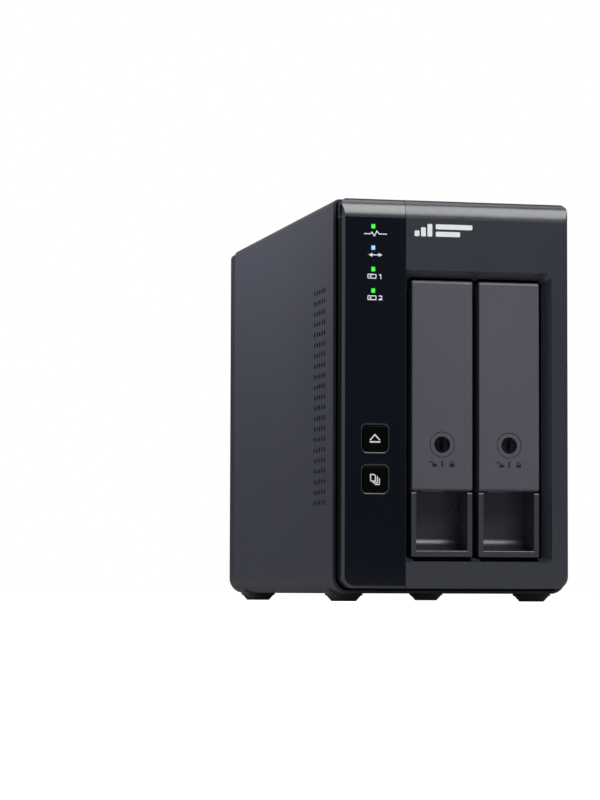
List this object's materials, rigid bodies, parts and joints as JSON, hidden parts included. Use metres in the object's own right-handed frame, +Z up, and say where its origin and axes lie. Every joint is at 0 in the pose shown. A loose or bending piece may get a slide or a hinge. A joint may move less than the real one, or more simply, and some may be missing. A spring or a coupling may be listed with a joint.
{
  "type": "network attached storage box",
  "caption": "Upright desktop drive box with side-by-side lever-handled trays, a gloss control column with lamps and keys, a wrap cover with side vents and a rear fan.",
  "frame": {"origin": "centre of the bounding box at the level of the surface that the feet stand on", "axes": "+Z up, +Y from the front face to the rear, +X to the right seen from the front"},
  "size_m": [0.102, 0.219, 0.1685],
  "materials": {
    "cover_paint": "dark grey powder coat",
    "bezel_plastic": "dark grey satin",
    "column_black": "black satin",
    "panel_gloss": "black high gloss",
    "lamp_green": "lit green",
    "lamp_blue": "lit blue",
    "key_black": "black satin",
    "board_green": "solder mask",
    "chip_black": "moulded",
    "cage_steel": "black plated",
    "post_brass": "plain",
    "sink_aluminium": "anodised",
    "can_aluminium": "bright",
    "rear_plastic": "dark satin",
    "panel_steel": "dark powder coat",
    "fan_plastic": "black",
    "guard_chrome": "bright wire",
    "screw_steel": "plated",
    "socket_steel": "plated shell",
    "socket_black": "black",
    "switch_body": "red",
    "slider_white": "white",
    "foot_rubber": "dark rubber",
    "tray_plastic": "grey fine texture",
    "rail_plastic": "dark",
    "drive_aluminium": "cast, clear coated",
    "drive_steel": "stamped",
    "pin_steel": "plain",
    "lock_plastic": "grey",
    "lock_core_metal": "dark"
  },
  "bodies": {
    "base": {"backplane": "board_green", "board_capacitors": "can_aluminium", "board_posts": "post_brass", "bridge_chip": "chip_black", "chassis_floor": "cage_steel", "column_cap": "bezel_plastic", "control_column": "column_black", "control_panel": "panel_gloss", "drive_1_socket": "socket_black", "drive_2_socket": "socket_black", "drive_cage": "cage_steel", "drive_light_1": "lamp_green", "drive_light_2": "lamp_green", "fan_frame": "fan_plastic", "fan_grille": "guard_chrome", "fan_screws": "screw_steel", "foot_front_left": "foot_rubber", "foot_front_right": "foot_rubber", "foot_rear_left": "foot_rubber", "foot_rear_right": "foot_rubber", "front_bezel": "bezel_plastic", "front_board": "board_green", "front_switches": "chip_black", "heat_sink": "sink_aluminium", "link_light": "lamp_blue", "main_board": "board_green", "mode_block": "switch_body", "outer_cover": "cover_paint", "power_jack": "socket_black", "rear_frame": "rear_plastic", "rear_panel": "panel_steel", "status_light": "lamp_green", "usb_socket": "socket_steel"},
    "eject_button": {"eject_button": "key_black"},
    "copy_button": {"copy_button": "key_black"},
    "power_button": {"power_button": "key_black"},
    "mode_slider_1": {"mode_slider_1": "slider_white"},
    "mode_slider_2": {"mode_slider_2": "slider_white"},
    "fan_rotor": {"fan_rotor": "fan_plastic"},
    "tray_1": {"tray_1_fascia": "tray_plastic", "tray_1_upper_rail": "rail_plastic", "tray_1_lower_rail": "rail_plastic", "drive_1_base": "drive_aluminium", "drive_1_lid": "drive_steel", "drive_1_board": "board_green", "lever_1_pin": "pin_steel"},
    "lever_1": {"lever_1": "tray_plastic", "lock_1_ring": "lock_plastic"},
    "lock_1": {"lock_1_core": "lock_core_metal"},
    "tray_2": {"tray_2_fascia": "tray_plastic", "tray_2_upper_rail": "rail_plastic", "tray_2_lower_rail": "rail_plastic", "drive_2_base": "drive_aluminium", "drive_2_lid": "drive_steel", "drive_2_board": "board_green", "lever_2_pin": "pin_steel"},
    "lever_2": {"lever_2": "tray_plastic", "lock_2_ring": "lock_plastic"},
    "lock_2": {"lock_2_core": "lock_core_metal"}
  },
  "joints": [
    {"name": "tray_1_slide", "type": "slide", "parent": "base", "child": "tray_1", "axis": [0, -1, 0], "range_m": [0, 0.15]},
    {"name": "lever_1_hinge", "type": "hinge", "parent": "tray_1", "child": "lever_1", "pos_m": [-0.00555, -0.1038, 0.1305], "axis": [-1, 0, 0], "range_deg": [0, 65]},
    {"name": "lock_1_turn", "type": "hinge", "parent": "lever_1", "child": "lock_1", "pos_m": [-0.00555, -0.1045, 0.0656], "axis": [0, 1, 0], "range_deg": [0, 90]},
    {"name": "tray_2_slide", "type": "slide", "parent": "base", "child": "tray_2", "axis": [0, -1, 0], "range_m": [0, 0.15]},
    {"name": "lever_2_hinge", "type": "hinge", "parent": "tray_2", "child": "lever_2", "pos_m": [0.0237, -0.1038, 0.1305], "axis": [-1, 0, 0], "range_deg": [0, 65]},
    {"name": "lock_2_turn", "type": "hinge", "parent": "lever_2", "child": "lock_2", "pos_m": [0.0237, -0.1045, 0.0656], "axis": [0, 1, 0], "range_deg": [0, 90]},
    {"name": "eject_press", "type": "slide", "parent": "base", "child": "eject_button", "axis": [0, 1, 0], "range_m": [0, 0.001], "stiffness_N_per_m": 600, "springref_m": -0.0004},
    {"name": "copy_press", "type": "slide", "parent": "base", "child": "copy_button", "axis": [0, 1, 0], "range_m": [0, 0.001], "stiffness_N_per_m": 600, "springref_m": -0.0004},
    {"name": "power_press", "type": "slide", "parent": "base", "child": "power_button", "axis": [0, -1, 0], "range_m": [0, 0.0012], "stiffness_N_per_m": 600, "springref_m": -0.0004},
    {"name": "mode_1_slide", "type": "slide", "parent": "base", "child": "mode_slider_1", "axis": [1, 0, 0], "range_m": [0, 0.0016]},
    {"name": "mode_2_slide", "type": "slide", "parent": "base", "child": "mode_slider_2", "axis": [1, 0, 0], "range_m": [0, 0.0016]},
    {"name": "fan_spin", "type": "hinge", "parent": "base", "child": "fan_rotor", "pos_m": [0.0112, 0.0978, 0.0855], "axis": [0, 1, 0], "continuous": true}
  ]
}
